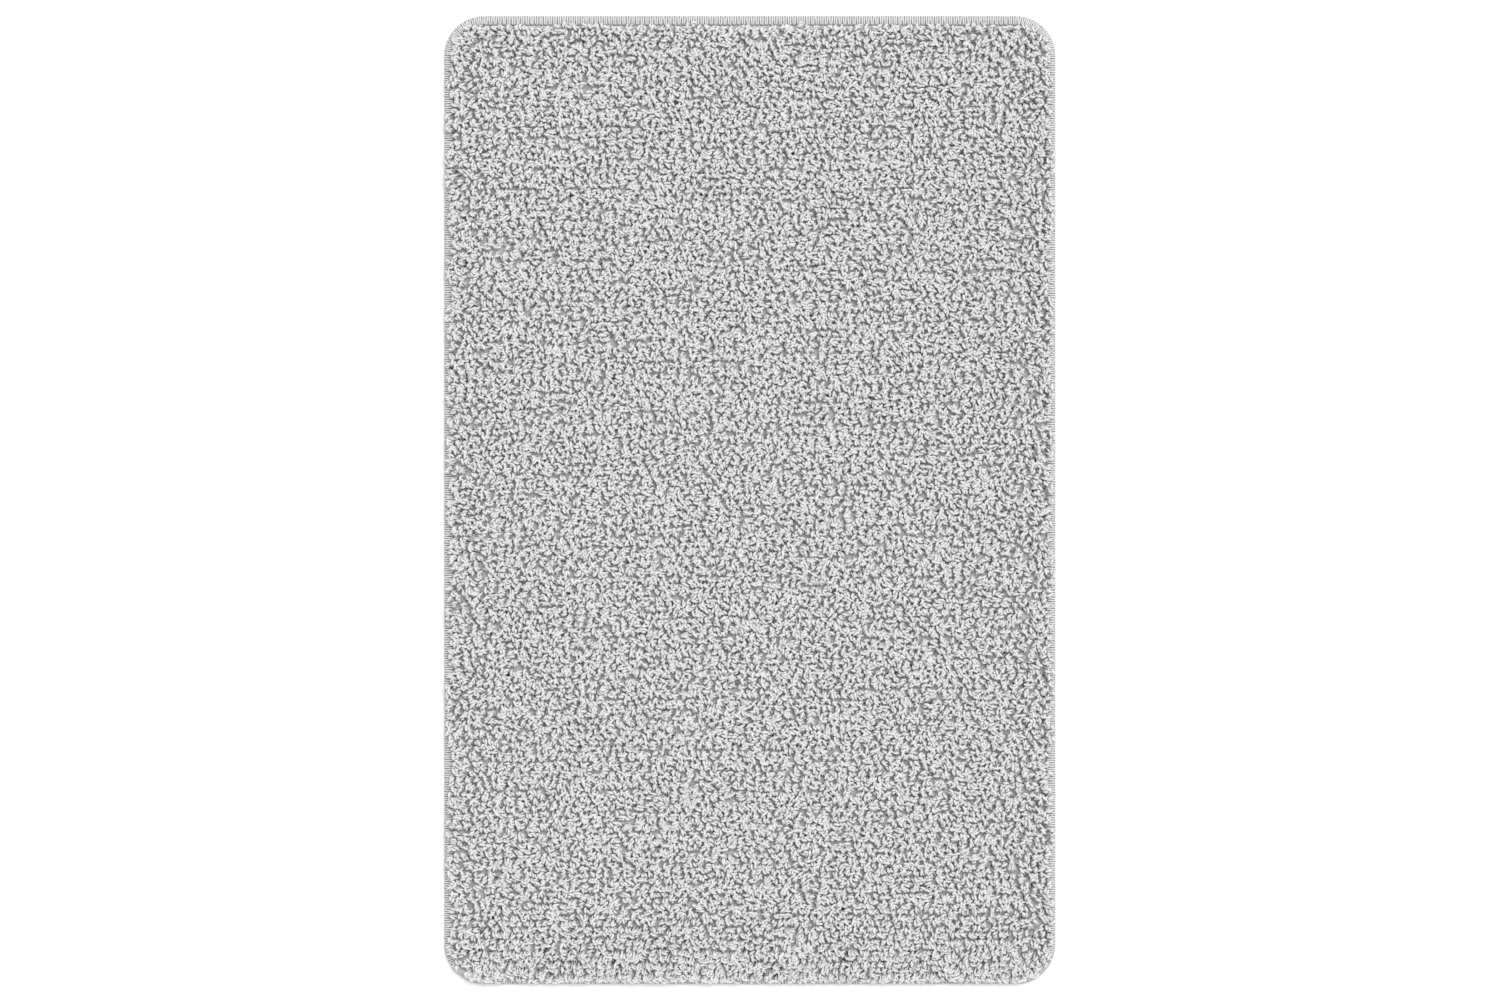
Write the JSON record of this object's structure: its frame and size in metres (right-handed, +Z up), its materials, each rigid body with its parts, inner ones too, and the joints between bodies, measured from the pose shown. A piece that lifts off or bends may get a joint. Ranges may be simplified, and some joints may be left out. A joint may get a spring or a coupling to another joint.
{
  "type": "bath mat",
  "caption": "Rectangular bath mat with rounded corners: a short looped pile in rows, a stitched edge all round and an anti-slip underside.",
  "frame": {"origin": "centre of the mat's underside, on the floor", "axes": "+Z up out of the pile, +Y along the length towards the end that shows its whole stitched edge, +X across the mat, along the rows of loops"},
  "size_m": [0.505, 0.8, 0.0125],
  "materials": {
    "pile_yarn": "matte",
    "overlock_thread": "matte",
    "needle_thread": "matte",
    "backing_cloth": "matte",
    "latex": "matte",
    "anti_slip_rubber": "satin"
  },
  "bodies": {
    "root": {"pile_rows_01": "pile_yarn", "pile_rows_02": "pile_yarn", "pile_rows_03": "pile_yarn", "pile_rows_04": "pile_yarn", "pile_rows_05": "pile_yarn", "pile_rows_06": "pile_yarn", "pile_rows_07": "pile_yarn", "pile_rows_08": "pile_yarn", "pile_rows_09": "pile_yarn", "pile_rows_10": "pile_yarn", "pile_rows_11": "pile_yarn", "pile_rows_12": "pile_yarn", "pile_rows_13": "pile_yarn", "pile_rows_14": "pile_yarn", "pile_rows_15": "pile_yarn", "pile_rows_16": "pile_yarn", "pile_rows_17": "pile_yarn", "pile_rows_18": "pile_yarn", "pile_rows_19": "pile_yarn", "anti_slip_backing": "anti_slip_rubber", "latex_coat": "latex", "primary_backing": "backing_cloth", "lower_looper_thread": "overlock_thread", "upper_looper_thread": "overlock_thread", "needle_thread": "needle_thread"}
  },
  "joints": []
}
